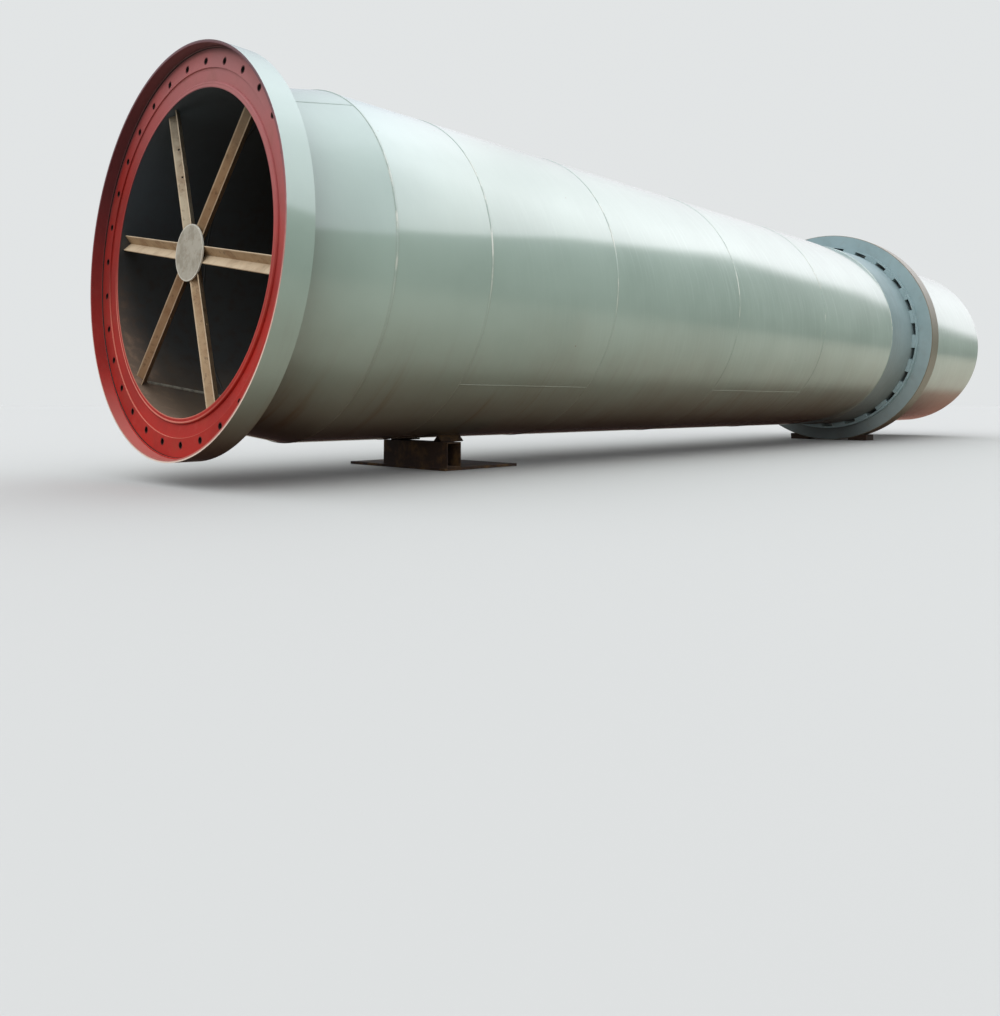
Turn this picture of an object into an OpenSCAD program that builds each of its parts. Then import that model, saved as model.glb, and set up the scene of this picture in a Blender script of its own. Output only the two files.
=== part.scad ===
// Rotary kiln shell section with its riding ring and transport supports.
// Millimetres. The kiln axis runs along X, the flanged feed end faces -X, +Z is up.
// The floor is z = 0 and the origin is the middle of the footprint.

/* [Shell] */
// Outer diameter of the rolled shell
shell_od = 2800; // [2400:10:3200]
// Plate thickness of the ordinary courses
shell_t = 25; // [16:1:40]
// Radial step of the thicker course under the riding ring
ring_course_step = 8; // [4:1:20]
// Wall of the thicker course
ring_course_t = 45; // [30:1:60]
// Length of the tapered edge of the thicker course
step_taper = 28; // [10:1:60]

/* [Course lengths] */
// Tapered course, from its mouth lip to the first seam
cone_l = 840; // [500:10:1200]
// Short make-up course
course_1_l = 930; // [500:10:1500]
// Second course
course_2_l = 1600; // [1000:10:2400]
// Third course
course_3_l = 2200; // [1200:10:2600]
// Fourth course
course_4_l = 2180; // [1200:10:2600]
// Fifth course
course_5_l = 2290; // [1200:10:2600]
// Thick course that carries the riding ring
ring_course_l = 1920; // [1000:10:2400]
// Plain tail course
tail_course_l = 2290; // [1200:10:2600]

/* [Flanged mouth] */
// How far the mouth lip steps in from the shell's bore
mouth_step = 175; // [60:5:350]
// Depth of the mouth lip behind the sleeve's rim
mouth_depth = 100; // [70:1:180]
// How far the sealing sleeve stands out past the shell
sleeve_out = 110; // [60:5:200]
// Plate thickness of the sleeve
sleeve_t = 20; // [12:1:30]
// Length of the sleeve along the axis
sleeve_l = 204; // [170:1:300]
// Depth of the bolt ring's face behind the rim
bolt_ring_depth = 90; // [50:1:110]
// Thickness of the bolt ring
bolt_ring_t = 40; // [25:1:50]
// Width of the bolt ring, from the sleeve to the step
bolt_ring_w = 150; // [125:5:170]
// Height of that step
step_h = 11; // [4:1:20]
// How far the dished ring's face falls back towards the lip
dish_h = 16; // [5:1:25]
// Thickness of the dished ring at its thin edge
dish_ring_t = 20; // [14:1:30]
// Distance from the sleeve's inner wall to the centre of a bolt hole
bolt_inset = 100; // [50:5:100]
// Number of bolt holes
bolt_count = 30; // [24:6:42]
// Diameter of a bolt hole
bolt_hole_d = 42; // [20:1:46]
// Angle of the first bolt hole
bolt_start = 3.6; // [0:0.1:12]

/* [Bracing spiders] */
// Number of spokes in each spider
spoke_count = 6; // [6]
// Leg of the angle iron that a spoke is cut from
spoke_leg = 90; // [60:1:100]
// Thickness of that angle iron
spoke_t = 8; // [5:1:12]
// Turn of the first spoke above the horizontal
spoke_start = 11; // [0:1:59]
// Diameter of the bolt holes left in some spokes from their earlier use
spoke_hole_d = 18; // [8:1:24]
// Distance from the kiln axis to such a hole in the two spokes that have one
spoke_hole_r = 575; // [300:5:750]
// Distance from the kiln axis to the nearer hole in the spoke that has two
spoke_pair_r = 660; // [300:5:750]
// Spacing of those two holes
spoke_pair_pitch = 245; // [60:5:300]
// Diameter of the round plate that covers the spokes' joint
hub_d = 422; // [300:1:600]
// Thickness of that plate
hub_t = 10; // [6:1:20]
// Depth of the plate's face behind the rim at the flanged end
hub_depth = 126; // [114:1:180]
// Depth of the plate's face inside the plain tail end
tail_hub_depth = 150; // [60:1:400]

/* [Riding ring] */
// Thickness of the riding ring from its bore to its tread
ring_t = 215; // [120:1:320]
// Width of the riding ring's tread
ring_w = 290; // [200:10:500]
// Chamfer on the tread's edges
ring_chamfer = 10; // [4:1:20]
// Distance from the thick course's front edge to the ring's front face
ring_inset = 885; // [300:5:1200]
// Number of pads under the ring
pad_count = 24; // [12:1:28]
// Width of a pad round the shell
pad_w = 198; // [100:1:240]
// Thickness of a pad
pad_t = 48; // [20:1:60]
// How far a pad reaches past each face of the ring
pad_out = 95; // [80:1:160]
// Turn of the first pad
pad_start = 6; // [0:0.5:15]
// Height of a retaining band above the pads
band_h = 26; // [10:1:50]
// Length of a retaining band along the axis
band_l = 75; // [20:1:78]

/* [Supports] */
// Distance from the second course's front edge to the middle of the saddle beam
saddle_inset = 500; // [320:10:700]
// Length of the saddle beam across the axis
saddle_l = 870; // [800:10:1600]
// Gap between the beam and the lowest point of the shell
saddle_gap = 28; // [5:1:40]
// Flange width of a saddle channel
channel_b = 82; // [60:1:100]
// Web of a saddle channel
channel_web = 9; // [6:1:14]
// Flange thickness of a saddle channel
channel_flange = 12; // [8:1:16]
// Length of the base plate along the axis
base_l = 900; // [300:10:1500]
// Width of the base plate across the axis
base_w = 1350; // [1300:10:2000]
// Thickness of the base plate
base_t = 24; // [8:1:40]
// How far the base plate reaches in front of the beam
base_lip = 15; // [0:5:200]
// How far the base plate lies off the middle
base_shift = 250; // [0:10:300]
// Leg of the angle irons on the beam that cradle the shell
chock_leg = 75; // [60:1:110]
// Thickness of those angle irons
chock_t = 8; // [6:1:14]
// Length of those angle irons along the axis
chock_l = 260; // [170:10:500]
// Distance from the beam's front face to the angle irons
chock_inset = 15; // [0:5:40]
// Distance from the middle to the toe of a wedge at the riding ring's foot
wedge_y = 330; // [200:5:450]
// Length of that wedge across the axis
wedge_l = 290; // [160:5:400]
// Height of the wedge at its heel
wedge_h = 90; // [60:5:200]
// Width of the wedge along the axis
wedge_w = 290; // [100:10:400]

/* [Hidden] */
$fn = 96;
// Facets of a whole circle where only a short arc of it is left
arc_fn = 360;
// Gap left between pieces that are welded or bear on each other
fit = 0.3;
// How far a cutting shape passes the faces that it cuts
cut = 5;
shell_r = shell_od / 2;
inner_r = shell_r - shell_t;
mouth_r = inner_r - mouth_step;
sleeve_r = shell_r + sleeve_out;
sleeve_bore_r = sleeve_r - sleeve_t;
step_r = sleeve_bore_r - bolt_ring_w;
ring_course_r = shell_r + ring_course_step;
pad_r = ring_course_r + fit + pad_t;
ring_bore_r = pad_r + fit;
ring_r = ring_bore_r + ring_t;
band_r = ring_bore_r + band_h;
axis_h = ring_r;

course_lengths = [cone_l, course_1_l, course_2_l, course_3_l, course_4_l, course_5_l, ring_course_l, tail_course_l];
function total(list, n) = n == 0 ? 0 : list[n - 1] + total(list, n - 1);
total_l = mouth_depth + total(course_lengths, len(course_lengths));
rim_x = -total_l / 2;
tail_x = total_l / 2;
// X of the start of course n, where course 0 is the tapered one
function course_x(n) = rim_x + mouth_depth + total(course_lengths, n);
ring_mid_x = course_x(6) + ring_inset + ring_w / 2;
saddle_mid_x = course_x(2) + saddle_inset;

// Outer radius of the tapered course at a depth behind its lip
cone_slope = (shell_r - mouth_r - shell_t) / cone_l;
function cone_r(depth) = mouth_r + shell_t + cone_slope * depth;

// Turns a shape modelled round Z so that it lies along the kiln axis, starting at x
module on_axis(x) {
    translate([x, 0, axis_h]) rotate([0, 90, 0]) children();
}

// Places a shape at an angle round the kiln axis, measured from +Y towards +Z
module round_axis(angle) {
    translate([0, 0, axis_h]) rotate([angle, 0, 0]) children();
}

module tube(x, length, outer_r, bore_r) {
    on_axis(x) rotate_extrude() polygon([[bore_r, 0], [outer_r, 0], [outer_r, length], [bore_r, length]]);
}

// Rolled courses

module shell_cone() {
    color("#a9b6b2") on_axis(course_x(0)) rotate_extrude() polygon([
        [mouth_r, 0], [mouth_r + shell_t, 0], [shell_r, cone_l], [inner_r, cone_l]]);
}

module shell_course(n) {
    color("#a9b6b2") tube(course_x(n), course_lengths[n], shell_r, inner_r);
}

module shell_ring_course() {
    bore_r = ring_course_r - ring_course_t;
    color("#7f929a") on_axis(course_x(6)) rotate_extrude() polygon([
        [bore_r, 0], [shell_r, 0], [ring_course_r, step_taper], [ring_course_r, ring_course_l - step_taper],
        [shell_r, ring_course_l], [bore_r, ring_course_l]]);
}

// Flanged mouth

module seal_sleeve() {
    color("#a9b6b2") tube(rim_x, sleeve_l, sleeve_r, sleeve_bore_r);
}

module bolt_ring() {
    color("#a5353a") difference() {
        tube(rim_x + bolt_ring_depth, bolt_ring_t, sleeve_bore_r - fit, step_r + fit);
        for (i = [0 : bolt_count - 1])
            round_axis(bolt_start + i * 360 / bolt_count)
                translate([rim_x + bolt_ring_depth - cut, sleeve_bore_r - bolt_inset, 0]) rotate([0, 90, 0])
                    cylinder(h = bolt_ring_t + 2 * cut, d = bolt_hole_d);
    }
}

// Fills the space between the bolt ring and the lip of the tapered course
module dished_ring() {
    face = bolt_ring_depth + step_h;
    back = face + dish_h + dish_ring_t;
    color("#b5484a") on_axis(rim_x) rotate_extrude() polygon([
        [cone_r(face + dish_h - mouth_depth) + fit, face + dish_h], [step_r, face],
        [step_r, back], [cone_r(back - mouth_depth) + fit, back]]);
}

// Bracing spiders

// Angle iron with its heel away from the face plate and its two toes towards it
module angle_section(leg, t) {
    rotate(-45) polygon([[0, 0], [leg, 0], [leg, t], [t, t], [t, leg], [0, leg]]);
}

spoke_depth = (spoke_leg + spoke_t) * cos(45);

// Bolt holes of each mouth spoke, as distances from the kiln axis
spoke_holes = [[], [spoke_pair_r, spoke_pair_r + spoke_pair_pitch], [], [], [spoke_hole_r], [spoke_hole_r]];

// A hole through the middle of the leg that faces the spoke before it
module spoke_hole(distance) {
    middle = spoke_leg / 2 * cos(45);
    translate([spoke_depth - middle, distance, -middle]) rotate([0, -45, 0])
        cylinder(h = 4 * spoke_t, d = spoke_hole_d, center = true, $fn = 24);
}

// One spoke along +Y with its toes at x = 0 and its heel at +X, mitred to its neighbours at the centre
module spoke_bar(length) {
    half = 180 / spoke_count;
    gap = fit / sin(half);
    intersection() {
        translate([spoke_depth, 0, 0]) rotate([-90, 0, 0]) linear_extrude(length)
            rotate(180) angle_section(spoke_leg, spoke_t);
        translate([-spoke_leg, 0, 0]) rotate([90, 0, 90]) linear_extrude(4 * spoke_leg)
            polygon([[gap, 0], [length + gap, -length * tan(half)], [length + gap, length * tan(half)]]);
    }
}

module mouth_spoke(i) {
    color("#a08a70") intersection() {
        round_axis(spoke_start + (i - 1) * 360 / spoke_count)
            translate([rim_x + hub_depth + hub_t + fit, 0, 0]) difference() {
                spoke_bar(shell_r);
                for (distance = spoke_holes[i - 1]) spoke_hole(distance);
            }
        on_axis(course_x(0)) cylinder(h = cone_l, r1 = mouth_r - fit, r2 = inner_r - fit, $fn = arc_fn);
    }
}

module tail_spoke(i) {
    color("#a08a70") intersection() {
        round_axis(spoke_start + (i - 1) * 360 / spoke_count)
            translate([tail_x - tail_hub_depth - hub_t - fit, 0, 0]) mirror([1, 0, 0]) spoke_bar(shell_r);
        on_axis(course_x(7)) cylinder(h = tail_course_l, r = inner_r - fit, $fn = arc_fn);
    }
}

module hub_plate(x) {
    color("#a39f96") on_axis(x) cylinder(h = hub_t, d = hub_d);
}

// Riding ring and what it rides on

module riding_ring() {
    c = ring_chamfer;
    color("#7f929a") on_axis(ring_mid_x - ring_w / 2) rotate_extrude() polygon([
        [ring_bore_r, 0], [ring_r - c, 0], [ring_r, c], [ring_r, ring_w - c], [ring_r - c, ring_w],
        [ring_bore_r, ring_w]]);
}

// A piece of a tube between two radii, as wide as given round the shell
module ring_block(x, length, low_r, high_r, width, angle) {
    intersection() {
        tube(x, length, high_r, low_r, $fn = arc_fn);
        round_axis(angle) translate([x - 1, low_r / 2, -width / 2]) cube([length + 2, high_r, width]);
    }
}

module ring_pads() {
    length = ring_w + 2 * pad_out;
    color("#8b9ca2") for (i = [0 : pad_count - 1])
        ring_block(ring_mid_x - length / 2, length, ring_course_r + fit, pad_r, pad_w, pad_start + i * 360 / pad_count);
}

// Band on the pads that keeps the ring in place, side -1 in front of it and 1 behind it
module ring_band(side) {
    near = ring_w / 2 + fit;
    x = side < 0 ? ring_mid_x - near - band_l : ring_mid_x + near;
    color("#8b9ca2") tube(x, band_l, band_r, ring_bore_r);
}

// Saddle under the short courses

beam_top = axis_h - shell_r - saddle_gap;
channel_h = beam_top - base_t - fit;

module saddle_base_plate() {
    color("#3a3632") translate([saddle_mid_x - channel_b - base_lip, base_shift - base_w / 2, 0])
        cube([base_l, base_w, base_t]);
}

// Channels stand toe to toe and make one box beam across the axis
module saddle_channel(side) {
    color("#5a4334") translate([saddle_mid_x + side * (channel_b + fit / 2), saddle_l / 2, base_t + fit])
        mirror([side < 0 ? 0 : 1, 0, 0]) rotate([90, 0, 0]) linear_extrude(saddle_l) polygon([
            [0, 0], [channel_b, 0], [channel_b, channel_flange], [channel_web, channel_flange],
            [channel_web, channel_h - channel_flange], [channel_b, channel_h - channel_flange],
            [channel_b, channel_h], [0, channel_h]]);
}

// Ridge of an angle iron that bears on the side of the shell
chock_top = beam_top + fit + (chock_leg + chock_t) * cos(45);
chock_y = sqrt(pow(shell_r + fit, 2) - pow(axis_h - chock_top, 2));

module saddle_chock(side) {
    color("#54402f") translate([saddle_mid_x - channel_b + chock_inset, side * chock_y, chock_top])
        rotate([90, 0, 90]) linear_extrude(chock_l) rotate(-90) angle_section(chock_leg, chock_t);
}

// Wedges under the riding ring

// Timber wedge whose hollow face follows the ring
module ring_wedge(side) {
    color("#6b5642") difference() {
        translate([ring_mid_x - wedge_w / 2, side > 0 ? wedge_y : -wedge_y - wedge_l, 0])
            cube([wedge_w, wedge_l, wedge_h]);
        on_axis(ring_mid_x - wedge_w) cylinder(h = 2 * wedge_w, r = ring_r + fit, $fn = arc_fn);
    }
}

shell_cone();
for (n = [1 : 5])
    shell_course(n);
shell_ring_course();
shell_course(7);  // shell_tail_course
seal_sleeve();
bolt_ring();
dished_ring();
hub_plate(rim_x + hub_depth);  // mouth_hub_plate
hub_plate(tail_x - tail_hub_depth - hub_t);  // tail_hub_plate
for (i = [1 : spoke_count]) {
    mouth_spoke(i);
    tail_spoke(i);
}
riding_ring();
ring_pads();
ring_band(-1);  // ring_band_front
ring_band(1);  // ring_band_rear
saddle_base_plate();
saddle_channel(-1);  // saddle_channel_front
saddle_channel(1);  // saddle_channel_rear
saddle_chock(1);  // saddle_chock_left
saddle_chock(-1);  // saddle_chock_right
ring_wedge(1);  // ring_wedge_left
ring_wedge(-1);  // ring_wedge_right
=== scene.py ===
import functools
import math

import bpy
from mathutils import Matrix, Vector


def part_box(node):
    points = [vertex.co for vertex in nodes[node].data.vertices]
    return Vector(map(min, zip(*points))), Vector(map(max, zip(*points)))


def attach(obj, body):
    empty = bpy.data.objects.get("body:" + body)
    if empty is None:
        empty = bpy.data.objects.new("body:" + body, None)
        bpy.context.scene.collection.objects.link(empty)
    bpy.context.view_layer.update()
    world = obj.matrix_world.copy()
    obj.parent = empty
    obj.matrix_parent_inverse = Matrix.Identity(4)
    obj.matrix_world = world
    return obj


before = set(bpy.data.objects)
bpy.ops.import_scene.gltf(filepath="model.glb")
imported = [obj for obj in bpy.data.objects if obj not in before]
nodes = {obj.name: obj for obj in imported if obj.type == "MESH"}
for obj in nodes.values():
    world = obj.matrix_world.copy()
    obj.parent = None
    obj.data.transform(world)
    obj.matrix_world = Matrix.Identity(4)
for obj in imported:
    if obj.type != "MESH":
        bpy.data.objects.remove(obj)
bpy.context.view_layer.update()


def outerRadius(name):
    low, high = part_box(name)
    return (high[2] - low[2]) / 2


ringLow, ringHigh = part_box("riding_ring")
axisHeight = (ringLow[2] + ringHigh[2]) / 2
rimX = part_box("seal_sleeve")[0][0]
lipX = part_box("shell_cone")[0][0]
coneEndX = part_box("shell_cone")[1][0]
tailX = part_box("shell_tail_course")[1][0]
shellR = outerRadius("shell_course_3")
sleeveR = outerRadius("seal_sleeve")
ringR = outerRadius("riding_ring")
hubR = outerRadius("mouth_hub_plate")
print("frame loaded, kiln axis at", round(axisHeight, 4))

# What the box of a node can't tell, in metres
walls = {
    "shell": 0.025,
    "sleeve": 0.02,
    "lipBore": 1.2,         # bore radius of the tapered course at its lip
    "ringCourse": 0.019,    # from the shell's outside to a depth inside the thick course's wall
    "ringChamfer": 0.01,    # height of the bevels beside the riding ring's tread
    "dishFall": 0.016,      # how far the dished ring falls back towards the lip
    "redBehind": 0.005,     # how far the red paint runs on behind the dished ring
}

# How deep the paint of an end face reaches, and how sharply it ends there and on bevels
faceSkin = {"lip": 0.003, "rim": 0.002, "tail": 0.0015}
sharp = 0.0005

boltHoles = {
    "start": 3.6,     # degrees from +Y towards +Z
    "count": 30,
    "inset": 0.1,     # from the sleeve's inner wall
    "radius": 0.021,
}
coneSlope = (shellR - walls["shell"] - walls["lipBore"]) / (coneEndX - lipX)
boreOfSleeve = sleeveR - walls["sleeve"]
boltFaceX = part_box("bolt_ring")[0][0]
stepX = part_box("dished_ring")[0][0]
stepRadius = outerRadius("dished_ring")
dishFaceX = stepX + walls["dishFall"]
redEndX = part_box("dished_ring")[1][0] + walls["redBehind"]
onAxis = Vector((0, 0, axisHeight))


# Shader helpers

class Wire:
    def __init__(self, graph, socket):
        self.graph = graph
        self.socket = socket

    def __add__(self, other):
        return self.graph.maths("ADD", self, other)

    def __radd__(self, other):
        return self.graph.maths("ADD", other, self)

    def __sub__(self, other):
        return self.graph.maths("SUBTRACT", self, other)

    def __rsub__(self, other):
        return self.graph.maths("SUBTRACT", other, self)

    def __mul__(self, other):
        return self.graph.maths("MULTIPLY", self, other)

    def __rmul__(self, other):
        return self.graph.maths("MULTIPLY", other, self)

    def __truediv__(self, other):
        return self.graph.maths("DIVIDE", self, other)

    def __rtruediv__(self, other):
        return self.graph.maths("DIVIDE", other, self)

    def __pow__(self, other):
        return self.graph.maths("POWER", self, other)

    def __abs__(self):
        return self.graph.maths("ABSOLUTE", self)


class Graph:
    def __init__(self, tree):
        self.tree = tree
        self.tree.nodes.clear()

    def plug(self, socket, value):
        if isinstance(value, Wire):
            self.tree.links.new(value.socket, socket)
        else:
            socket.default_value = value

    def layStops(self, elements, stops):
        for element, (place, colour) in zip((elements[0], elements[1]), (stops[0], stops[-1])):
            element.position = place
            element.color = colour
        for place, colour in stops[1:-1]:
            elements.new(place).color = colour

    def node(self, kind, settings, values, output=0):
        made = self.tree.nodes.new(kind)
        for key, value in settings.items():
            if key == "stops":
                self.layStops(made.color_ramp.elements, value)
            else:
                setattr(made, key, value)
        for key, value in values.items():
            self.plug(made.inputs[key], value)
        return Wire(self, made.outputs[output]) if len(made.outputs) else made

    def maths(self, operation, *values):
        return self.node("ShaderNodeMath", {"operation": operation}, dict(enumerate(values)))

    def split(self, vector):
        return [self.node("ShaderNodeSeparateXYZ", {}, {"Vector": vector}, axis) for axis in "XYZ"]

    def step(self, value, low, high):
        values = {"Value": value, "From Min": low, "From Max": high, "To Min": 0.0, "To Max": 1.0}
        return self.node("ShaderNodeMapRange", {"interpolation_type": "SMOOTHSTEP"}, values)

    def least(self, a, b):
        return self.maths("MINIMUM", a, b)

    def most(self, a, b):
        return self.maths("MAXIMUM", a, b)

    def vector(self, x, y, z):
        return self.node("ShaderNodeCombineXYZ", {}, {"X": x, "Y": y, "Z": z})

    def noise(self, place, scale, detail=4.0, roughness=0.55):
        values = {"Vector": place, "Scale": scale, "Detail": detail, "Roughness": roughness}
        return self.node("ShaderNodeTexNoise", {}, values)

    def specks(self, place, scale):
        return self.node("ShaderNodeTexVoronoi", {}, {"Vector": place, "Scale": scale}, "Distance")

    def mix(self, factor, a, b):
        return self.node("ShaderNodeMix", {"data_type": "RGBA"}, {0: factor, 6: a, 7: b}, 2)

    def ramp(self, value, stops):
        return self.node("ShaderNodeValToRGB", {"stops": stops}, {"Fac": value})

    def rays(self, kind):
        return self.node("ShaderNodeLightPath", {}, {}, kind)


class Sheet(Graph):
    def __init__(self, name):
        self.material = bpy.data.materials.new(name)
        self.material.use_nodes = True
        super().__init__(self.material.node_tree)
        self.position = self.node("ShaderNodeTexCoord", {}, {}, "Object")
        self.x, self.y, self.z = self.split(self.position)

    # 1 past a limit and 0 before it, or the other way round, with a short blur between them
    def past(self, value, limit, blur=0.001):
        return self.step(value, limit - blur, limit + blur)

    def before(self, value, limit, blur=0.001):
        return self.step(value, limit + blur, limit - blur)

    # A soft edge near a place, its two ends measured from there
    def edge(self, value, place, ends):
        return self.step(value, place + ends[0], place + ends[1])

    # Soft patches, where the noise rises from low to high
    def patches(self, scale, low, high, detail=4.0, roughness=0.55):
        return self.step(self.noise(self.position, scale, detail, roughness), low, high)

    # Lays inks over a colour, each as densely as its factor says
    def coats(self, colour, *layers):
        for factor, ink in layers:
            colour = self.mix(factor, colour, inks[ink])
        return colour

    def facing(self, axis):
        normal = self.node("ShaderNodeNewGeometry", {}, {}, "True Normal")
        return self.node("ShaderNodeSeparateXYZ", {}, {"Vector": normal}, axis)

    def bump(self, height, distance, strength=1.0, normal=None):
        values = {"Height": height, "Distance": distance, "Strength": strength}
        if normal is not None:
            values["Normal"] = normal
        return self.node("ShaderNodeBump", {}, values)

    def finish(self, **values):
        named = {key.replace("_", " "): value for key, value in values.items()}
        shader = self.node("ShaderNodeBsdfPrincipled", {}, named)
        self.node("ShaderNodeOutputMaterial", {}, {"Surface": shader})
        return self.material


def srgb(red, green, blue):
    def linear(channel):
        channel = channel / 255
        if channel <= 0.04045:
            return channel / 12.92
        return ((channel + 0.055) / 1.055) ** 2.4
    return (linear(red), linear(green), linear(blue), 1.0)


def grey(level):
    return (level, level, level, 1.0)


# Coordinates round the kiln axis: reach is the radius, turn is 1 at the top and -1 at the bottom,
# and runs are stretched round the shell, as paint runs are
def kilnSheet(name):
    sheet = Sheet(name)
    up = sheet.z - axisHeight
    sheet.reach = (sheet.y * sheet.y + up * up) ** 0.5
    sheet.turn = up / sheet.reach
    sheet.runs = sheet.vector(sheet.x * 13.0, sheet.y * 0.7, sheet.z * 0.7)
    return sheet


inks = {
    "shellLight": srgb(157, 177, 168),
    "shellDark": srgb(145, 165, 156),
    "shellGrime": srgb(110, 80, 52),
    # Painted reflection streaks on the shell
    "shellSheen": srgb(186, 202, 196),
    "oxide": srgb(58, 60, 60),
    "oxideLit": srgb(98, 112, 124),
    "boreDust": srgb(122, 104, 84),
    "mouthDust": srgb(160, 134, 114),
    "red": srgb(174, 40, 31),
    "redDeep": srgb(146, 36, 30),
    "redAway": srgb(112, 34, 30),
    "redChalk": srgb(186, 92, 84),
    "redShade": srgb(84, 58, 64),
    "redLit": srgb(204, 128, 120),
    # Painted sky sheen on the red paint
    "redSkySheen": srgb(178, 134, 136),
    "redHighlight": srgb(226, 142, 124),
    "redDark": srgb(74, 24, 26),
    "rim": srgb(240, 216, 200),
    "ringGrey": srgb(148, 169, 173),
    "ringDark": srgb(133, 154, 157),
    "tread": srgb(100, 94, 76),
    "treadRust": srgb(82, 64, 44),
    "rust": srgb(112, 70, 44),
    "rustDark": srgb(56, 38, 28),
    "rustOchre": srgb(124, 92, 50),
    "spokeTan": srgb(170, 145, 114),
    "spokeBrown": srgb(128, 92, 62),
    "spokeGrey": srgb(184, 176, 156),
    "spokeHighlight": srgb(208, 190, 162),
    "spokeShade": srgb(84, 78, 66),
    "hubGrey": srgb(172, 167, 154),
    "hubDark": srgb(140, 133, 118),
    # Pale, for bare steel and for painted glints
    "bareAndGlint": srgb(226, 226, 216),
    # Near black, for soot and for painted shade
    "sootAndShade": srgb(22, 18, 14),
    "timber": srgb(46, 36, 28),
}

# Where one rolled course ends and the next begins
seams = {
    "cone_rear": coneEndX,
    "course_1_rear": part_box("shell_course_2")[0][0],
    "course_2_rear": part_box("shell_course_3")[0][0],
    "course_3_rear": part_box("shell_course_4")[0][0],
    "course_4_rear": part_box("shell_course_5")[0][0],
    "course_5_rear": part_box("shell_ring_course")[0][0],
    "tail_front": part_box("shell_tail_course")[0][0],
}


# Shades that several paints share

# Darker towards the very bottom
def veryBottom(sheet):
    return sheet.step(sheet.turn, -0.85, -1.0)


# Painted highlights on edges fade towards the near side
def farSide(sheet):
    return 1.0 - sheet.step(sheet.y, 0.1, -0.7) * 0.8


# Clear gloss over the grey-green paint, where outside is 1
coatLook = {"weight": 0.9, "roughness": 0.07}


def coatGloss(outside):
    return {"Coat_Weight": outside * coatLook["weight"], "Coat_Roughness": coatLook["roughness"]}


# The red paint has a painted sky sheen at the top and on the near side, and painted shade on the far side
redLook = {"patches": 0.7, "chalk": 0.18, "awayShade": 0.6, "skySheen": 0.65}


def redCoat(sheet):
    patches = sheet.patches(2.3, 0.4, 0.66)
    chalk = sheet.patches(9.0, 0.55, 0.75, 6.0)
    away = sheet.step(sheet.y + sheet.turn * 0.4, 0.5, 1.5)
    sheenFacing = sheet.turn * 0.75 - sheet.y * 0.3 + sheet.noise(sheet.position, 1.2) * 0.2
    return sheet.coats(
        inks["red"],
        (patches * redLook["patches"], "redDeep"),
        (chalk * redLook["chalk"], "redChalk"),
        # Painted shade on the far side
        (away * redLook["awayShade"], "redAway"),
        # Painted sheen of the sky, at the top and on the near side
        (sheet.step(sheenFacing, 0.1, 1.05) * redLook["skySheen"], "redSkySheen"),
    )


# The bore is scaled and rusty, lit near the mouth and dusty at the bottom
boreLook = {
    "scale": 0.4,
    "lit": 0.8,
    "litDepth": 1.6,           # how far behind the lip daylight reaches
    "dust": 0.8,
    "drift": 0.5,              # sand blown in at the mouth
    "driftScale": 0.4,
    "driftDepth": (0.6, 0.15),
}


def boreCoat(sheet):
    rough = sheet.noise(sheet.position, 1.7, 6.0)
    scale = sheet.patches(14.0, 0.45, 0.7, 6.0)
    nearMouth = sheet.step(sheet.x, lipX + boreLook["litDepth"], lipX)
    lit = sheet.step(sheet.turn, 0.0, 0.8) * nearMouth
    dusty = sheet.step(rough * 0.5 - sheet.turn + nearMouth * 0.15, 0.8, 1.4)
    drift = sheet.edge(sheet.x + rough * 0.5, lipX, boreLook["driftDepth"])
    drift = drift * sheet.step(sheet.turn, 0.1, -0.6)
    return sheet.coats(
        inks["oxide"],
        (scale * boreLook["scale"], "rustDark"),
        (lit * boreLook["lit"], "oxideLit"),
        (dusty * boreLook["dust"], "boreDust"),
        (drift * (boreLook["drift"] + scale * boreLook["driftScale"]), "mouthDust"),
    )


# The shell's grey-green paint
shellLook = {
    "brush": 0.22,             # pale streaks, painted reflection of the plate's waviness, stronger towards the tail
    "sheenBand": 0.3,          # more of them in a band above the middle
    "sheenReach": (-0.5, 5.5),  # where they set in and where they are full, from the cone's end
    "grime": 0.65,             # brown on the lower half, partly grime and partly painted reflection of the brown ground below
    "grimeRuns": 0.3,
    "sootAndShade": 0.5,
    "specks": 0.7,             # small rust specks
    "seamShade": 0.12,         # darker beside the weld rings, and how far it reaches
    "seamShadeReach": (0.018, 0.011),
    "lipEdge": 0.7,            # painted highlight and shade on the edge of the red lip, and its width
    "lipEdgeWidth": (0.009, 0.005),
    "roughness": 0.26,
    "gloss": 1.05,
    "sheenDull": 0.3,          # how much gloss a streak takes away
    "grainHeight": 0.0003,
    "runHeight": 0.002,
    "dentHeight": 0.007,
}


def shellTone(sheet):
    tone = sheet.patches(0.9, 0.3, 0.7)
    streak = sheet.step(sheet.noise(sheet.runs, 1.0, 5.0, 0.6), 0.5, 0.8)
    # The painted reflection streaks lean a little against the seams
    leaning = sheet.vector(sheet.x * 30.0 + sheet.z * 7.0, sheet.y * 1.6, sheet.z * 1.6)
    marks = sheet.step(sheet.noise(leaning, 1.0, 6.0, 0.7), 0.46, 0.76)
    band = sheet.step(sheet.turn, -0.15, 0.15) * sheet.step(sheet.turn, 0.6, 0.35)
    sheet.brushed = marks * sheet.edge(sheet.x, coneEndX, shellLook["sheenReach"])
    sheet.low = sheet.step(sheet.turn + sheet.noise(sheet.position, 1.3, 5.0) * 0.4, 0.0, -0.9)
    return sheet.coats(
        inks["shellLight"],
        (tone, "shellDark"),
        (sheet.brushed * (shellLook["brush"] + band * shellLook["sheenBand"]), "shellSheen"),
        # Partly grime, partly painted reflection of the brown ground below
        (sheet.low * shellLook["grime"] + streak * sheet.low * shellLook["grimeRuns"], "shellGrime"),
        (veryBottom(sheet) * shellLook["sootAndShade"], "sootAndShade"),
    )


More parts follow.
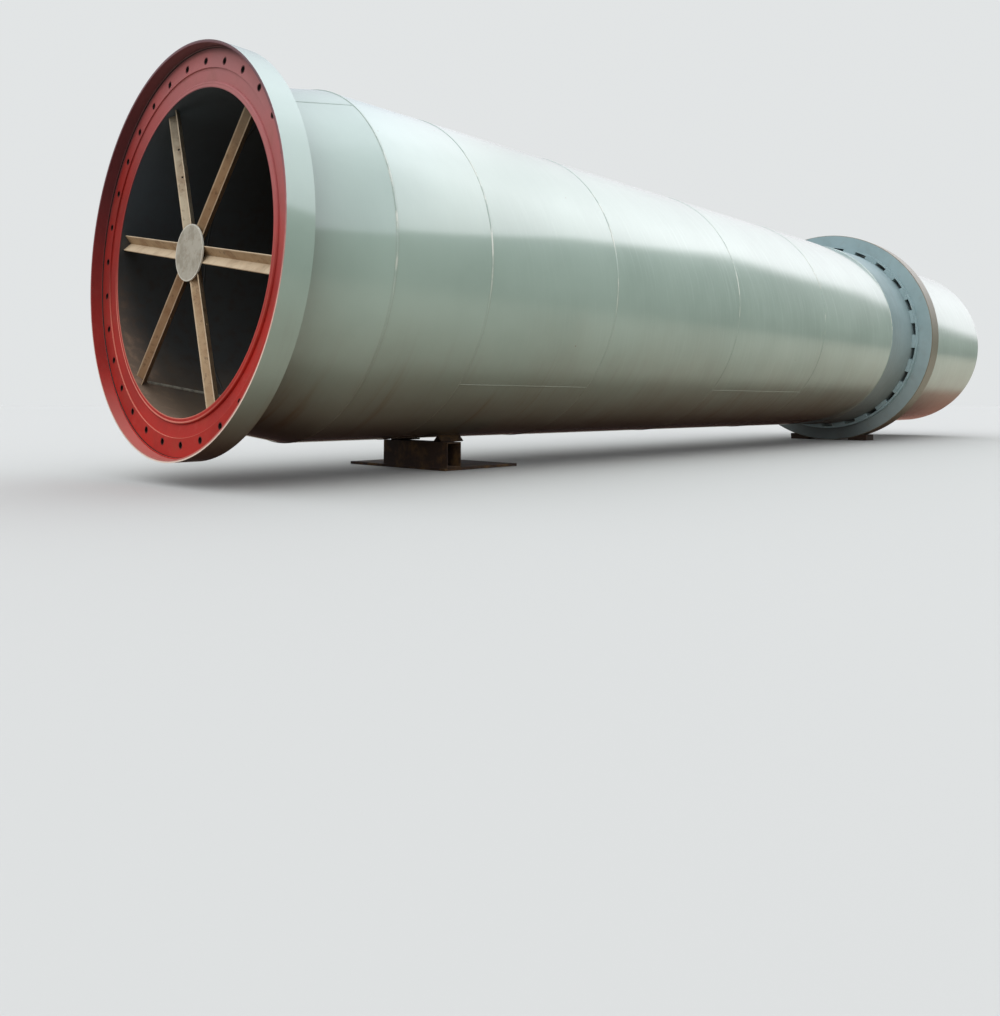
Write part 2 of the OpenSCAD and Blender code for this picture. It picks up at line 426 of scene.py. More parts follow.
def makeShellPaint():
    sheet = kilnSheet("shellPaint")

    # Outside, bore and red lip, told apart in the middle of each wall
    coneMiddle = walls["lipBore"] + walls["shell"] / 2
    coneOuter = sheet.past(sheet.reach - (sheet.x - lipX) * coneSlope, coneMiddle)
    onCone = sheet.before(sheet.x, coneEndX)
    rolled = sheet.past(sheet.reach, shellR - walls["shell"] / 2)
    inMouth = sheet.before(sheet.x, redEndX - sharp, sharp)
    outside = sheet.most(rolled, sheet.least(onCone, coneOuter)) * (1.0 - inMouth)
    lipFace = sheet.before(sheet.x, lipX + faceSkin["lip"])
    redLip = sheet.most(inMouth * coneOuter, lipFace)
    tailEnd = sheet.past(sheet.x, tailX - faceSkin["tail"], sharp)

    specks = sheet.step(sheet.specks(sheet.position, 11.0), 0.12, 0.05) * sheet.patches(3.1, 0.6, 0.68)
    fromSeam = functools.reduce(sheet.least, [abs(sheet.x - seamX) for seamX in seams.values()])
    paint = sheet.coats(
        shellTone(sheet),
        (specks * shellLook["specks"], "rust"),
        (sheet.step(fromSeam, *shellLook["seamShadeReach"]) * shellLook["seamShade"], "shellGrime"),
    )

    # Painted highlight on the lip's inner edge below, and painted shade on it above
    edgeInk = sheet.mix(sheet.step(sheet.turn, 0.2, -0.3), inks["redDark"], inks["redHighlight"])
    lipEdge = lipFace * sheet.edge(sheet.reach, walls["lipBore"], shellLook["lipEdgeWidth"])
    lip = sheet.mix(lipEdge * farSide(sheet) * shellLook["lipEdge"], redCoat(sheet), edgeInk)
    inner = sheet.mix(redLip, boreCoat(sheet), lip)

    fine = sheet.noise(sheet.position, 60.0, 3.0)
    drips = sheet.noise(sheet.runs, 0.8, 3.0)
    dents = sheet.noise(sheet.vector(sheet.x * 1.4, sheet.y * 0.8, sheet.z * 0.8), 1.6, 2.0)
    bump = sheet.bump(fine, shellLook["grainHeight"], 0.3)
    bump = sheet.bump(drips, shellLook["runHeight"], 0.4, bump)
    bump = sheet.bump(dents, shellLook["dentHeight"], 0.5, bump)
    return sheet.finish(
        Base_Color=sheet.mix(tailEnd, sheet.mix(outside, inner, paint), inks["rust"]),
        Roughness=shellLook["roughness"] + sheet.low * 0.15 + fine * 0.06 + (1.0 - outside) * 0.4,
        Normal=bump,
        **coatGloss(outside * (shellLook["gloss"] - sheet.brushed * shellLook["sheenDull"])),
    )


# The thick course under the riding ring
ringCourseLook = {"runs": 0.15, "grime": 0.35, "sootAndShade": 0.12, "sootBelow": 0.15, "roughness": 0.48}


def makeRingCoursePaint():
    sheet = kilnSheet("ringCoursePaint")
    outside = sheet.past(sheet.reach, shellR - walls["ringCourse"])
    tone = sheet.patches(1.8, 0.35, 0.7, 5.0)
    streak = sheet.step(sheet.noise(sheet.runs, 1.4, 5.0, 0.65), 0.45, 0.8)
    low = sheet.step(sheet.turn, 0.2, -0.9)
    paint = sheet.coats(
        inks["ringGrey"],
        (tone, "ringDark"),
        (streak * ringCourseLook["runs"] + low * ringCourseLook["grime"], "shellGrime"),
        (ringCourseLook["sootAndShade"] + low * ringCourseLook["sootBelow"], "sootAndShade"),
    )
    fine = sheet.noise(sheet.position, 45.0)
    return sheet.finish(
        Base_Color=sheet.mix(outside, boreCoat(sheet), paint),
        Roughness=ringCourseLook["roughness"] + fine * 0.15,
        Normal=sheet.bump(fine, 0.0005, 0.4),
    )


# The riding ring, painted on its faces, bare and rusty on its tread
ringLook = {
    "tone": 0.8,
    "dirt": 0.12,
    "dirtBelow": 0.25,
    "sootAndShade": 0.6,
    "treadRust": 0.45,
    "latheMarks": 0.25,
    "roughness": 0.5,
    "treadGloss": 0.25,
    "treadGlossRoughness": 0.2,
}


def makeRingSteel():
    sheet = kilnSheet("ringSteel")
    onTread = sheet.past(sheet.reach, ringR - walls["ringChamfer"], sharp)
    low = sheet.step(sheet.turn, 0.3, -1.0)
    faces = sheet.coats(
        inks["ringGrey"],
        (sheet.patches(2.2, 0.3, 0.75) * ringLook["tone"], "ringDark"),
        (sheet.patches(7.0, 0.5, 0.75, 6.0) * ringLook["dirt"] + low * ringLook["dirtBelow"], "shellGrime"),
        (veryBottom(sheet) * ringLook["sootAndShade"], "sootAndShade"),
    )
    lathe = sheet.noise(sheet.vector(sheet.x * 60.0, sheet.turn, 0.0), 1.0, 3.0)
    tread = sheet.coats(
        inks["tread"],
        (sheet.patches(4.0, 0.4, 0.7, 6.0) * ringLook["treadRust"], "treadRust"),
        (lathe * ringLook["latheMarks"], "hubGrey"),
    )
    fine = sheet.noise(sheet.position, 38.0)
    return sheet.finish(
        Base_Color=sheet.mix(onTread, faces, tread),
        Roughness=ringLook["roughness"] - onTread * 0.15 + fine * 0.12,
        Normal=sheet.bump(fine + lathe * 0.3, 0.0007, 0.45),
        Coat_Weight=onTread * ringLook["treadGloss"],
        Coat_Roughness=ringLook["treadGlossRoughness"],
    )


# The pads and keeper bands round the thick course
padLook = {"tone": 0.7, "chipsAndGlints": 0.5, "roughness": 0.42}


def makePadPaint():
    sheet = kilnSheet("padPaint")
    tone = sheet.patches(8.0, 0.35, 0.7, 5.0)
    chipped = sheet.patches(21.0, 0.6, 0.72, 5.0)
    paint = sheet.coats(
        inks["ringGrey"],
        (tone * padLook["tone"], "ringDark"),
        (chipped * padLook["chipsAndGlints"], "bareAndGlint"),
    )
    return sheet.finish(Base_Color=paint, Roughness=padLook["roughness"] + tone * 0.15)


# The sleeve is painted as the shell outside and red inside, with a worn rim. Inside it has painted shade at
# the top and painted light at the bottom
sleeveLook = {"shadeAbove": 0.8, "litBelow": 0.75, "roughness": 0.45}


def makeSleevePaint():
    sheet = kilnSheet("sleevePaint")
    wallMiddle = sleeveR - walls["sleeve"] / 2
    outside = sheet.past(sheet.reach, wallMiddle - sharp, sharp)
    rimFace = sheet.before(sheet.x, rimX + faceSkin["rim"])
    wall = sheet.coats(
        redCoat(sheet),
        # Painted shade at the top of the wall
        (sheet.step(sheet.turn, -0.3, 0.75) * sleeveLook["shadeAbove"], "redShade"),
        # Painted light where the wall faces up, at the bottom
        (sheet.step(sheet.turn, -0.5, -0.95) * sleeveLook["litBelow"], "redLit"),
    )
    paint = sheet.mix(outside * (1.0 - rimFace), wall, shellTone(sheet))
    rimEdge = rimFace * sheet.past(sheet.reach, wallMiddle)
    rough = sheet.noise(sheet.position, 18.0)
    worn = sheet.step(sheet.turn + rough * 0.3, 0.35, -0.6)
    fine = sheet.noise(sheet.position, 50.0, 3.0)
    return sheet.finish(
        Base_Color=sheet.coats(paint, (rimEdge * worn, "rim")),
        Roughness=sleeveLook["roughness"] - outside * 0.17 + fine * 0.08,
        Normal=sheet.bump(fine, 0.0004, 0.4),
        **coatGloss(outside),
    )


# The bolt ring and the dished ring, darker round the bolt holes, with painted shade in the corner under the
# sleeve and on the bolt holes' walls, and a painted highlight on the step's edge
primerLook = {
    "smears": 0.18,
    "cornerShade": 0.85,       # in the corner under the sleeve, at the top
    "cornerWidth": 0.06,
    # Darker round the bolt holes, and how far that reaches
    "holeDark": 0.9,
    "holeDarkWidth": 0.012,
    "stepEdge": 0.75,          # painted highlight on the edge of the step, at the bottom
    "stepEdgeWidth": (0.004, 0.001),
    "stepEdgeDepth": 0.003,
    "roughness": 0.5,
    "shine": 0.3,
}


# Distance from the centre of the nearest bolt hole
def fromBoltHole(sheet):
    pitch = 2 * math.pi / boltHoles["count"]
    turned = sheet.maths("ARCTAN2", sheet.z - axisHeight, sheet.y) - math.radians(boltHoles["start"])
    place = sheet.maths("FRACT", turned * (1 / pitch) + 0.5) - 0.5
    along = place * sheet.reach * pitch
    out = sheet.reach - (boreOfSleeve - boltHoles["inset"])
    return (along * along + out * out) ** 0.5


def makeRedPrimer():
    sheet = kilnSheet("redPrimer")
    smear = sheet.patches(5.0, 0.5, 0.8, 6.0)
    corner = sheet.step(sheet.reach, boreOfSleeve - primerLook["cornerWidth"], boreOfSleeve)
    corner = corner * sheet.step(sheet.turn, -0.2, 0.7)
    holeDarkReach = sheet.noise(sheet.position, 30.0, 2.0) * primerLook["holeDarkWidth"] + boltHoles["radius"]
    atHole = sheet.step(fromBoltHole(sheet) - holeDarkReach, 0.004, -0.002)
    stepWall = sheet.edge(sheet.reach, stepRadius, primerLook["stepEdgeWidth"])
    stepWall = stepWall * sheet.step(sheet.x, stepX, stepX - primerLook["stepEdgeDepth"])
    stepLit = sheet.step(sheet.turn, 0.1, -0.4) * farSide(sheet)
    # Outside the step, only the walls of the bolt holes are steep, and they are painted near black as
    # painted shade
    steep = sheet.step(abs(sheet.facing("X")), 0.6, 0.3)
    holeWallShade = steep * sheet.step(sheet.reach, stepRadius + 0.01, stepRadius + 0.02)
    paint = sheet.coats(
        redCoat(sheet),
        (smear * primerLook["smears"], "boreDust"),
        (corner * primerLook["cornerShade"], "redShade"),
        (atHole * primerLook["holeDark"], "redDark"),
        # Painted highlight on the step's edge, lower down
        (stepWall * stepLit * primerLook["stepEdge"], "redHighlight"),
        (holeWallShade, "sootAndShade"),
    )
    fine = sheet.noise(sheet.position, 55.0)
    return sheet.finish(
        Base_Color=paint,
        Roughness=primerLook["roughness"] + smear * 0.2 + fine * 0.1,
        Specular_IOR_Level=primerLook["shine"],
        Normal=sheet.bump(fine, 0.0006, 0.5),
    )


# Angle iron of the spiders, tan with brown patches
spokeLook = {
    "patches": 0.5,
    "spots": 0.5,
    "cool": 0.7,               # greyest is the spoke up and away
    "brown": 0.5,              # brownest are those up and near, and down and away
    "outerShade": 0.75,        # shade at the outer ends, at the top
    "toe": 0.6,                # painted highlight along the edges of the legs that face out
    "toeWidth": (0.009, 0.003),
    "upward": 0.75,            # painted light on what faces up
    "roughness": 0.7,
}


def makeSpokeSteel(name, toeX, inward):
    sheet = kilnSheet(name)
    patch = sheet.patches(6.0, 0.42, 0.66, 7.0, 0.65)
    spot = sheet.patches(23.0, 0.52, 0.68, 6.0, 0.7)
    tall = sheet.turn * sheet.step(abs(sheet.turn), 0.3, 0.6)
    cool = sheet.step(tall, 0.3, 0.6) * sheet.step(sheet.y, -0.05, 0.05)
    brown = sheet.step(tall * sheet.y, -0.03, -0.12)
    outer = sheet.step(sheet.reach + patch * 0.1, 0.6, 1.25) * sheet.step(sheet.turn, 0.4, 0.8)
    toe = sheet.step((sheet.x - toeX) * inward, *spokeLook["toeWidth"])
    upward = sheet.step(sheet.facing("Z"), 0.35, 0.75)
    pale = sheet.most(toe * spokeLook["toe"], upward * spokeLook["upward"])
    pale = pale * (1.0 - patch * 0.3) * (1.0 - outer * 0.5)
    paint = sheet.coats(
        inks["spokeTan"],
        (cool * spokeLook["cool"], "spokeGrey"),
        (brown * spokeLook["brown"], "spokeBrown"),
        (patch * spokeLook["patches"], "spokeBrown"),
        (spot * spokeLook["spots"], "rustDark"),
        (outer * spokeLook["outerShade"], "spokeShade"),
        (pale, "spokeHighlight"),
    )
    fine = sheet.noise(sheet.position, 80.0, 5.0)
    return sheet.finish(
        Base_Color=paint,
        Roughness=spokeLook["roughness"] + fine * 0.15,
        Normal=sheet.bump(fine + spot * 0.5, 0.0009, 0.6),
    )


# The round plates over the spokes' joint, pale at the rim
hubLook = {"patches": 0.7, "spots": 0.4, "edge": 0.5, "edgeReach": (-0.015, -0.003), "roughness": 0.62}


def makeHubSteel():
    sheet = kilnSheet("hubSteel")
    paint = sheet.coats(
        inks["hubGrey"],
        (sheet.patches(11.0, 0.4, 0.62, 7.0, 0.65) * hubLook["patches"], "hubDark"),
        (sheet.patches(31.0, 0.55, 0.7, 6.0, 0.7) * hubLook["spots"], "spokeBrown"),
        (sheet.edge(sheet.reach, hubR, hubLook["edgeReach"]) * hubLook["edge"], "bareAndGlint"),
    )
    fine = sheet.noise(sheet.position, 80.0, 5.0)
    return sheet.finish(
        Base_Color=paint,
        Roughness=hubLook["roughness"] + fine * 0.15,
        Normal=sheet.bump(fine, 0.0008, 0.5),
    )


# The saddle's rusty steel
saddleLook = {"rust": 0.75, "sootAndShade": 0.3, "sootSpots": 0.35, "roughness": 0.78}


def makeSaddleSteel():
    sheet = kilnSheet("saddleSteel")
    patch = sheet.patches(6.0, 0.45, 0.7, 7.0, 0.65)
    spot = sheet.patches(27.0, 0.5, 0.7, 6.0, 0.7)
    paint = sheet.coats(
        inks["rustDark"],
        (patch * saddleLook["rust"], "rustOchre"),
        (spot * saddleLook["sootSpots"] + saddleLook["sootAndShade"], "sootAndShade"),
    )
    fine = sheet.noise(sheet.position, 90.0, 5.0)
    return sheet.finish(
        Base_Color=paint,
        Roughness=saddleLook["roughness"] + fine * 0.12,
        Normal=sheet.bump(fine + patch * 0.4, 0.0012, 0.7),
    )


# The wedges at the riding ring's foot, with the grain lying flat
timberLook = {"sootAndShade": 0.5, "grainHeight": 0.002, "roughness": 0.85}


def makeTimber():
    sheet = kilnSheet("wedgeTimber")
    grain = sheet.noise(sheet.vector(sheet.x * 2.0, sheet.y * 1.5, sheet.z * 40.0), 1.5, 6.0, 0.6)
    paint = sheet.coats(
        inks["timber"],
        (sheet.step(grain, 0.35, 0.7), "rustDark"),
        (sheet.patches(4.0, 0.45, 0.7, 5.0) * timberLook["sootAndShade"], "sootAndShade"),
    )
    return sheet.finish(
        Base_Color=paint,
        Roughness=timberLook["roughness"] + grain * 0.1,
        Normal=sheet.bump(grain, timberLook["grainHeight"], 0.6),
    )


# Painted beads outside, bare ones in the bore
beadLook = {
    "grime": 0.06,
    "chipsAndGlints": 0.6,
    "rippleHeight": 0.0015,
    "roughness": 0.3,
    "boreDark": 0.5,
    "paleDark": 0.6,
    "boreRoughness": 0.55,
}


def makeBeadPaint():
    sheet = kilnSheet("beadPaint")
    ripple = sheet.noise(sheet.position, 110.0, 3.0)
    # Painted highlight: pale glints on the weld beads, around and just above the middle
    glint = sheet.patches(5.0, 0.44, 0.6, 5.0)
    glint = glint * sheet.step(sheet.turn, -0.3, 0.0) * sheet.step(sheet.turn, 0.8, 0.5)
    paint = sheet.coats(
        shellTone(sheet),
        (beadLook["grime"], "shellGrime"),
        (glint * beadLook["chipsAndGlints"], "bareAndGlint"),
    )
    return sheet.finish(
        Base_Color=paint,
        Roughness=beadLook["roughness"] + ripple * 0.15,
        Normal=sheet.bump(ripple, beadLook["rippleHeight"], 0.6),
        **coatGloss(1.0),
    )


def makeBoreBead(name, ink, dark):
    sheet = kilnSheet(name)
    tone = sheet.patches(26.0, 0.4, 0.7, 5.0)
    paint = sheet.coats(inks[ink], (tone * dark, "oxide"))
    return sheet.finish(Base_Color=paint, Roughness=beadLook["boreRoughness"] + tone * 0.2)


shellPaint = makeShellPaint()
ringCoursePaint = makeRingCoursePaint()
ringSteel = makeRingSteel()
padPaint = makePadPaint()
sleevePaint = makeSleevePaint()
redPrimer = makeRedPrimer()
mouthSpokeSteel = makeSpokeSteel("mouthSpokeSteel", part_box("mouth_spoke_1")[0][0], 1)
tailSpokeSteel = makeSpokeSteel("tailSpokeSteel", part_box("tail_spoke_1")[1][0], -1)
hubSteel = makeHubSteel()
saddleSteel = makeSaddleSteel()
timber = makeTimber()
beadPaint = makeBeadPaint()
boreBead = makeBoreBead("boreBead", "oxide", beadLook["boreDark"])
paleBead = makeBoreBead("paleBead", "hubGrey", beadLook["paleDark"])

# A node takes the first finish whose key its name starts with
finishes = {
    "shell_ring_course": ringCoursePaint,
    "shell_": shellPaint,
    "seal_sleeve": sleevePaint,
    "bolt_ring": redPrimer,
    "dished_ring": redPrimer,
    "riding_ring": ringSteel,
    "ring_pads": padPaint,
    "ring_band": padPaint,
    "mouth_hub_plate": hubSteel,
    "tail_hub_plate": hubSteel,
    "mouth_spoke": mouthSpokeSteel,
    "tail_spoke": tailSpokeSteel,
    "saddle_": saddleSteel,
    "ring_wedge": timber,
}

for name, part in nodes.items():
    for start, finish in finishes.items():
        if name.startswith(start):
            part.data.materials.clear()
            part.data.materials.append(finish)
            break
print("materials on", len(nodes), "nodes")


# Weld beads

def clearPick():
    bpy.ops.object.select_all(action="DESELECT")


def settle(piece, name, material):
    bpy.ops.object.transform_apply(location=True, rotation=True, scale=True)
    piece.name = name
    piece.data.materials.clear()
    piece.data.materials.append(material)
    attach(piece, "root")
    return piece


bead = {
    "half": 0.008,      # half of its depth
    "flatten": 1.25,    # how much wider than deep it is
    "sunk": 0.0035,     # how deep its middle lies in the plate
    "around": 720,
    "section": 8,
    "sides": 10,        # of a long bead
    "pitch": 0.02,      # length of one step of a long bead
    "mostSteps": 100,
    "ripple": 0.0016,   # height and width of its ripples
    "rippleWidth": 0.02,
    "smooth": 60,       # degrees between faces that are still shaded as one
}
weldTexture = bpy.data.textures.new("weldRipple", "CLOUDS")
weldTexture.noise_scale = bead["rippleWidth"]


def rippled(piece):
    lumps = piece.modifiers.new("ripple", "DISPLACE")
    lumps.texture = weldTexture
    lumps.texture_coords = "LOCAL"
    lumps.strength = bead["ripple"]
    bpy.ops.object.modifier_apply(modifier=lumps.name)
    bpy.ops.object.shade_smooth_by_angle(angle=math.radians(bead["smooth"]))


def ringBead(name, x, middleR, material, half):
    clearPick()
    bpy.ops.mesh.primitive_torus_add(
        major_radius=middleR,
        minor_radius=half,
        major_segments=bead["around"],
        minor_segments=bead["section"],
        location=(0, 0, 0),
        rotation=(0, math.pi / 2, 0),
    )
    piece = bpy.context.object
    bpy.ops.object.transform_apply(location=True, rotation=True, scale=True)
    bpy.ops.object.mode_set(mode="EDIT")
    bpy.ops.mesh.select_all(action="SELECT")
    bpy.ops.transform.resize(value=(bead["flatten"], 1, 1))
    bpy.ops.object.mode_set(mode="OBJECT")
    rippled(piece)
    piece.location = onAxis + Vector((x, 0, 0))
    return settle(piece, name, material)


def copiedBead(source, name, shift, material):
    clearPick()
    piece = source.copy()
    piece.data = source.data.copy()
    bpy.context.collection.objects.link(piece)
    piece.select_set(True)
    bpy.context.view_layer.objects.active = piece
    piece.location = piece.location + Vector((shift, 0, 0))
    return settle(piece, name, material)


outerBeadR = shellR - bead["sunk"]
boreBeadR = shellR - walls["shell"] + bead["sunk"]
coneWeld = ringBead("weld_cone_rear", coneEndX, outerBeadR, beadPaint, bead["half"])
coneBoreWeld = ringBead("bore_weld_cone_rear", coneEndX, boreBeadR, boreBead, bead["half"])
for name, x in seams.items():
    if x > coneEndX:
        copiedBead(coneWeld, "weld_" + name, x - coneEndX, beadPaint)
        copiedBead(coneBoreWeld, "bore_weld_" + name, x - coneEndX, boreBead)

# The bolt ring's weld to the sleeve, and the dished ring's weld to the lip
mouthWelds = {"sleeveHalf": 0.009, "sleeveInset": 0.004, "lipHalf": 0.014, "lipOut": 0.003}
sleeveCornerR = boreOfSleeve - mouthWelds["sleeveInset"]
lipCornerX = dishFaceX - mouthWelds["lipOut"]
lipCornerR = walls["lipBore"] + walls["shell"] + (lipCornerX - lipX) * coneSlope + mouthWelds["lipOut"]
sleeveHalf = mouthWelds["sleeveHalf"]
lipHalf = mouthWelds["lipHalf"]
ringBead("weld_bolt_ring", boltFaceX, sleeveCornerR, redPrimer, sleeveHalf)
ringBead("weld_mouth_lip", lipCornerX, lipCornerR, redPrimer, lipHalf)
print("ring welds done")


# Each plain course is rolled from two plates. Angles run from +Y towards +Z in degrees
longSeams = {
    "shell_course_1": 90,
    "shell_course_2": 42.7,
    "shell_course_3": 90,
    "shell_course_4": 42.7,
    "shell_course_5": 90,
    "shell_tail_course": 90,
}
seamEnds = {"half": 0.0068, "coneStart": 0.11, "margin": 0.006}

# The tapered course's seams show on its outside and, wider, in its bore
coneSeam = {
    "outer": {
        "angles": (128, 308),
        "half": seamEnds["half"],
        "offset": walls["shell"] - bead["sunk"],
        "paint": beadPaint,
    },
    "bore": {
        "angles": (128, 310.6),
        "half": 0.015,
        "offset": 0.003,
        "paint": paleBead,
    },
}


# A straight bead between two points, each an x and a radius, turned round the kiln axis
def longBead(name, start, end, degrees, material, half):
    run = math.hypot(end[0] - start[0], end[1] - start[1])
    tilt = math.atan2(end[1] - start[1], end[0] - start[0])
    clearPick()
    bpy.ops.mesh.primitive_cylinder_add(
        vertices=bead["sides"],
        radius=half,
        depth=run,
        location=(0, 0, 0),
    )
    piece = bpy.context.object
    bpy.ops.object.mode_set(mode="EDIT")
    bpy.ops.mesh.select_mode(type="EDGE")
    bpy.ops.mesh.select_all(action="DESELECT")
    bpy.ops.object.mode_set(mode="OBJECT")
    corners = piece.data.vertices
    # Only the edges along the bead are cut into steps
    for edge in piece.data.edges:
        first, second = (corners[index].co.z for index in edge.vertices)
        edge.select = abs(second - first) > run / 2
    bpy.ops.object.mode_set(mode="EDIT")
    bpy.ops.mesh.subdivide(number_cuts=min(bead["mostSteps"], int(run / bead["pitch"])))
    bpy.ops.mesh.select_mode(type="VERT")
    bpy.ops.object.mode_set(mode="OBJECT")
    rippled(piece)
    piece.rotation_euler = (0, math.pi / 2 - tilt, 0)
    bpy.ops.object.transform_apply(location=True, rotation=True, scale=True)
    piece.location = ((start[0] + end[0]) / 2, 0, (start[1] + end[1]) / 2)
    bpy.ops.object.transform_apply(location=True, rotation=True, scale=True)
    piece.rotation_euler = (math.radians(degrees) - math.pi / 2, 0, 0)
    piece.location = onAxis
    return settle(piece, name, material)


margin = seamEnds["margin"]
for node, degrees in longSeams.items():
    low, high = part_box(node)
    start = (low[0] + margin, outerBeadR)
    end = (high[0] - margin, outerBeadR)
    for side, turned in (("a", 0), ("b", 180)):
        longBead("seam_" + node + "_" + side, start, end, degrees + turned, beadPaint, seamEnds["half"])

startX = lipX + seamEnds["coneStart"]
endX = coneEndX - margin
for layer, seam in coneSeam.items():
    start = (startX, walls["lipBore"] + (startX - lipX) * coneSlope + seam["offset"])
    end = (endX, walls["lipBore"] + (endX - lipX) * coneSlope + seam["offset"])
    for side, degrees in zip("ab", seam["angles"]):
        longBead("seam_cone_" + layer + "_" + side, start, end, degrees, seam["paint"], seam["half"])
print("long welds done")


# Floor, light and camera

# The camera sees a plain pale floor. Other rays see darker shades: near and far ground, and a strip
# under the kiln in the deck's red-brown with painted shade, lighter beyond the ring where that shade ends
floorLook = {
    "shown": srgb(200, 200, 198),
    "near": srgb(190, 183, 166),
    "far": srgb(96, 100, 90),
    "under": srgb(84, 46, 32),
    "beyond": srgb(146, 96, 78),
    "nearWidth": (3.5, 9.0),      # from the axis to both sides
    "stripWidth": (1.6, 1.1),
    "stripChange": (5.5, 9.0),    # along the axis
    "roughness": 0.9,
    "size": 600,
    "gap": 0.001,                 # below what stands on it
}


def stageSetup():
    clearPick()
    bpy.ops.mesh.primitive_plane_add(size=floorLook["size"], location=(0, 0, -floorLook["gap"]))
    floor = bpy.context.object
    floor.name = "floor"
    sheet = Sheet("floorPaint")
    aside = abs(sheet.y)
    ground = sheet.mix(sheet.step(aside, *floorLook["nearWidth"]), floorLook["near"], floorLook["far"])
    strip = sheet.mix(
        sheet.step(sheet.x, *floorLook["stripChange"]),
        floorLook["under"],
        floorLook["beyond"],
    )
    felt = sheet.mix(sheet.step(aside, *floorLook["stripWidth"]), ground, strip)
    paint = sheet.mix(sheet.rays("Is Camera Ray"), felt, floorLook["shown"])
    sheet.finish(Base_Color=paint, Roughness=floorLook["roughness"])
    floor.data.materials.append(sheet.material)


# Camera rays see a pale backdrop, glossy rays a bright dome over a dark band, others a soft dome
domeLook = {
    "shown": (0.76, 0.78, 0.785, 1.0),
    # What lights the paint, from the floor's level up to the top
    "soft": [
        (0.0, (0.38, 0.38, 0.37, 1)),
        (0.18, (0.6, 0.61, 0.61, 1)),
        (0.6, (1.06, 1.09, 1.13, 1)),
        (1.0, (1.45, 1.49, 1.53, 1)),
    ],
    "band": (0.3, 0.34, 0.3, 1.0),
    # Colour of the dome, top of the band and glow, all over the X of a ray's direction from 0 to 1
    "bright": [(0.56, (0.86, 0.91, 0.98, 1)), (0.67, (0.93, 0.92, 0.95, 1))],
    "bandTop": [
        (0.0, grey(0.2)),
        (0.51, grey(0.31)),
        (0.56, grey(0.24)),
        (0.67, grey(0.33)),
        (0.76, grey(0.43)),
        (0.86, grey(0.44)),
        (0.925, grey(0.3)),
        (0.97, grey(0.06)),
    ],
    "bandBlur": 0.04,
    "bandFar": 0.15,             # share of that height that the band has on the far side
    "nearSide": (0.3, -0.1),     # where it grows to its full height
    "glow": [
        (0.0, grey(0.4)),
        (0.45, grey(0.72)),
        (0.56, grey(0.8)),
        (0.66, grey(0.9)),
        (0.76, grey(0.88)),
        (0.85, grey(0.77)),
        (0.925, grey(0.59)),
        (1.0, grey(0.42)),
    ],
    "strength": 4.74,
    # How much of that is left, from the near side over the top to the far side, so that nothing clips
    "overTop": [
        (0.3, grey(1.0)),
        (0.375, grey(0.9)),
        (0.44, grey(0.71)),
        (0.5, grey(0.56)),
        (0.575, grey(0.43)),
        (0.675, grey(0.31)),
        (0.8, grey(0.2)),
    ],
    # A bright patch above the mouth, over the same range, and where it ends towards +X
    "patch": [
        (0.3, grey(0.0)),
        (0.375, grey(0.18)),
        (0.44, grey(0.28)),
        (0.52, grey(0.31)),
        (0.56, grey(0.33)),
        (0.7, grey(0.17)),
        (0.78, grey(0.12)),
        (0.9, grey(0.0)),
    ],
    "patchEnd": (0.72, 0.58),
}


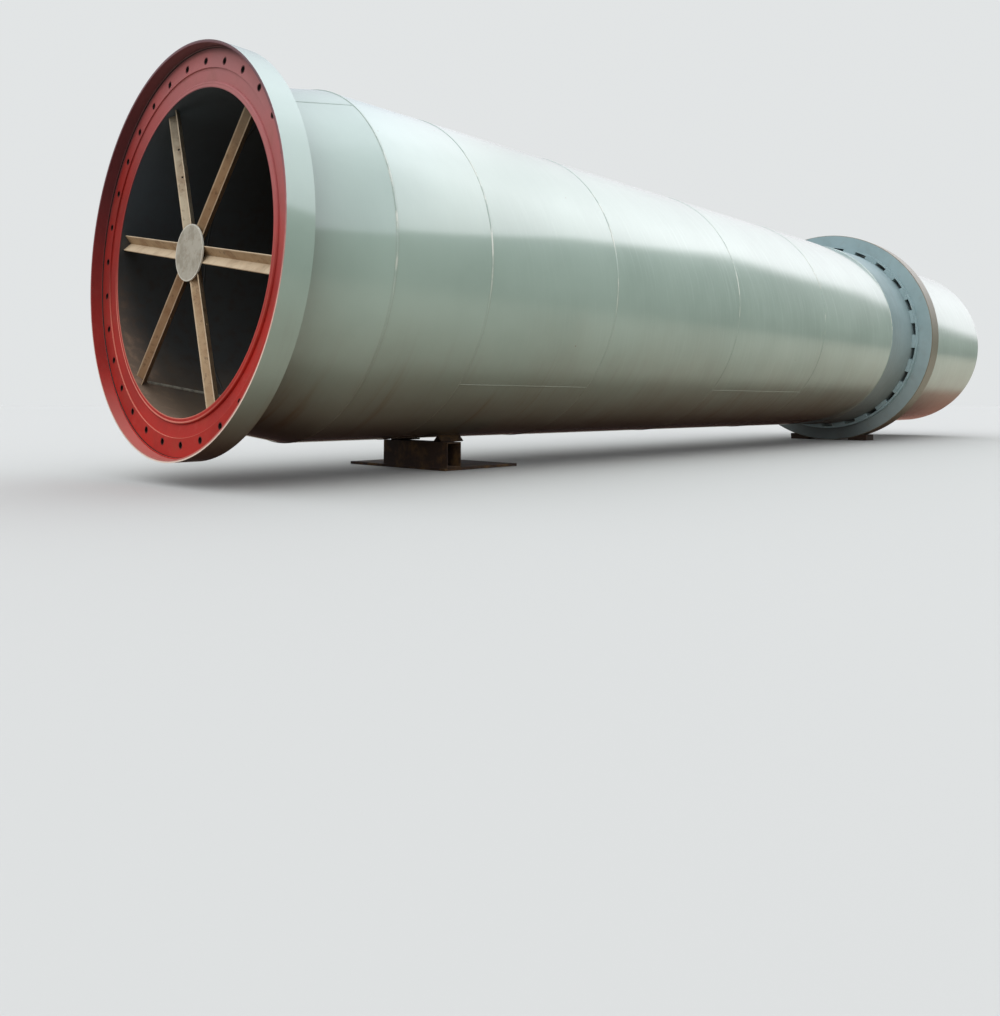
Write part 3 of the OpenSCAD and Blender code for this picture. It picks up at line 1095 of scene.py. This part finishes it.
def domeSetup():
    world = bpy.data.worlds.new("dome")
    bpy.context.scene.world = world
    world.use_nodes = True
    dome = Graph(world.node_tree)
    x, y, z = dome.split(dome.node("ShaderNodeTexCoord", {}, {}, "Generated"))

    # What glossy rays see
    bandShare = dome.step(y, *domeLook["nearSide"]) * (1.0 - domeLook["bandFar"]) + domeLook["bandFar"]
    overBand = z - dome.ramp(x, domeLook["bandTop"]) * bandShare
    clearing = dome.step(overBand, -domeLook["bandBlur"], domeLook["bandBlur"])
    across = y * 0.5 + 0.5
    patch = dome.ramp(across, domeLook["patch"]) * dome.step(x, *domeLook["patchEnd"])
    level = (dome.ramp(across, domeLook["overTop"]) + patch) * domeLook["strength"]
    glow = dome.ramp(x, domeLook["glow"]) * level
    mirrored = dome.mix(clearing, domeLook["band"], dome.ramp(x, domeLook["bright"]))

    def light(colour, strength=1.0):
        return dome.node("ShaderNodeBackground", {}, {"Color": colour, "Strength": strength})

    def choose(kind, others, those):
        return dome.node("ShaderNodeMixShader", {}, {0: dome.rays(kind), 1: others, 2: those})

    soft = light(dome.ramp(z, domeLook["soft"]))
    glossy = light(mirrored, 1.0 + clearing * (glow - 1.0))
    felt = choose("Is Glossy Ray", soft, glossy)
    seen = choose("Is Camera Ray", felt, light(domeLook["shown"]))
    dome.node("ShaderNodeOutputWorld", {}, {"Surface": seen})


# A wide soft lamp from the front, so far away that the mouth and the ring are lit alike
lampLook = {"place": (-12, -8, 9), "from": (-1.0, -0.45, 0.55), "strength": 1.0, "spread": 60}


def lampSetup():
    clearPick()
    bpy.ops.object.light_add(type="SUN", location=lampLook["place"])
    lamp = bpy.context.object
    lamp.name = "softLamp"
    lamp.data.energy = lampLook["strength"]
    lamp.data.angle = math.radians(lampLook["spread"])
    lamp.rotation_euler = Vector(lampLook["from"]).to_track_quat("Z", "Y").to_euler()
    lamp.visible_glossy = False


# The photo's own viewpoint, fitted to the rims and seams of the kiln
cameraLook = {
    "aheadOfRim": 2.706,    # metres towards -X
    "aside": 5.909,
    "belowAxis": 1.1,
    "azimuth": 44.11,       # degrees
    "rise": 5.83,
    "lens": 30.23,          # millimetres
    "sensor": 36,
    "shift": -0.188,
    "reach": 1000,
}


def cameraSetup():
    clearPick()
    azimuth = math.radians(cameraLook["azimuth"])
    rise = math.radians(cameraLook["rise"])
    place = (rimX - cameraLook["aheadOfRim"], -cameraLook["aside"], axisHeight - cameraLook["belowAxis"])
    level = math.cos(rise)
    aim = Vector((level * math.cos(azimuth), level * math.sin(azimuth), math.sin(rise)))
    bpy.ops.object.camera_add(location=place)
    camera = bpy.context.object
    camera.rotation_euler = aim.to_track_quat("-Z", "Y").to_euler()
    camera.data.sensor_width = cameraLook["sensor"]
    camera.data.lens = cameraLook["lens"]
    camera.data.shift_y = cameraLook["shift"]
    camera.data.clip_end = cameraLook["reach"]
    bpy.context.scene.camera = camera


stageSetup()
domeSetup()
lampSetup()
cameraSetup()
bpy.context.scene.view_settings.view_transform = "Standard"

print("stage done")
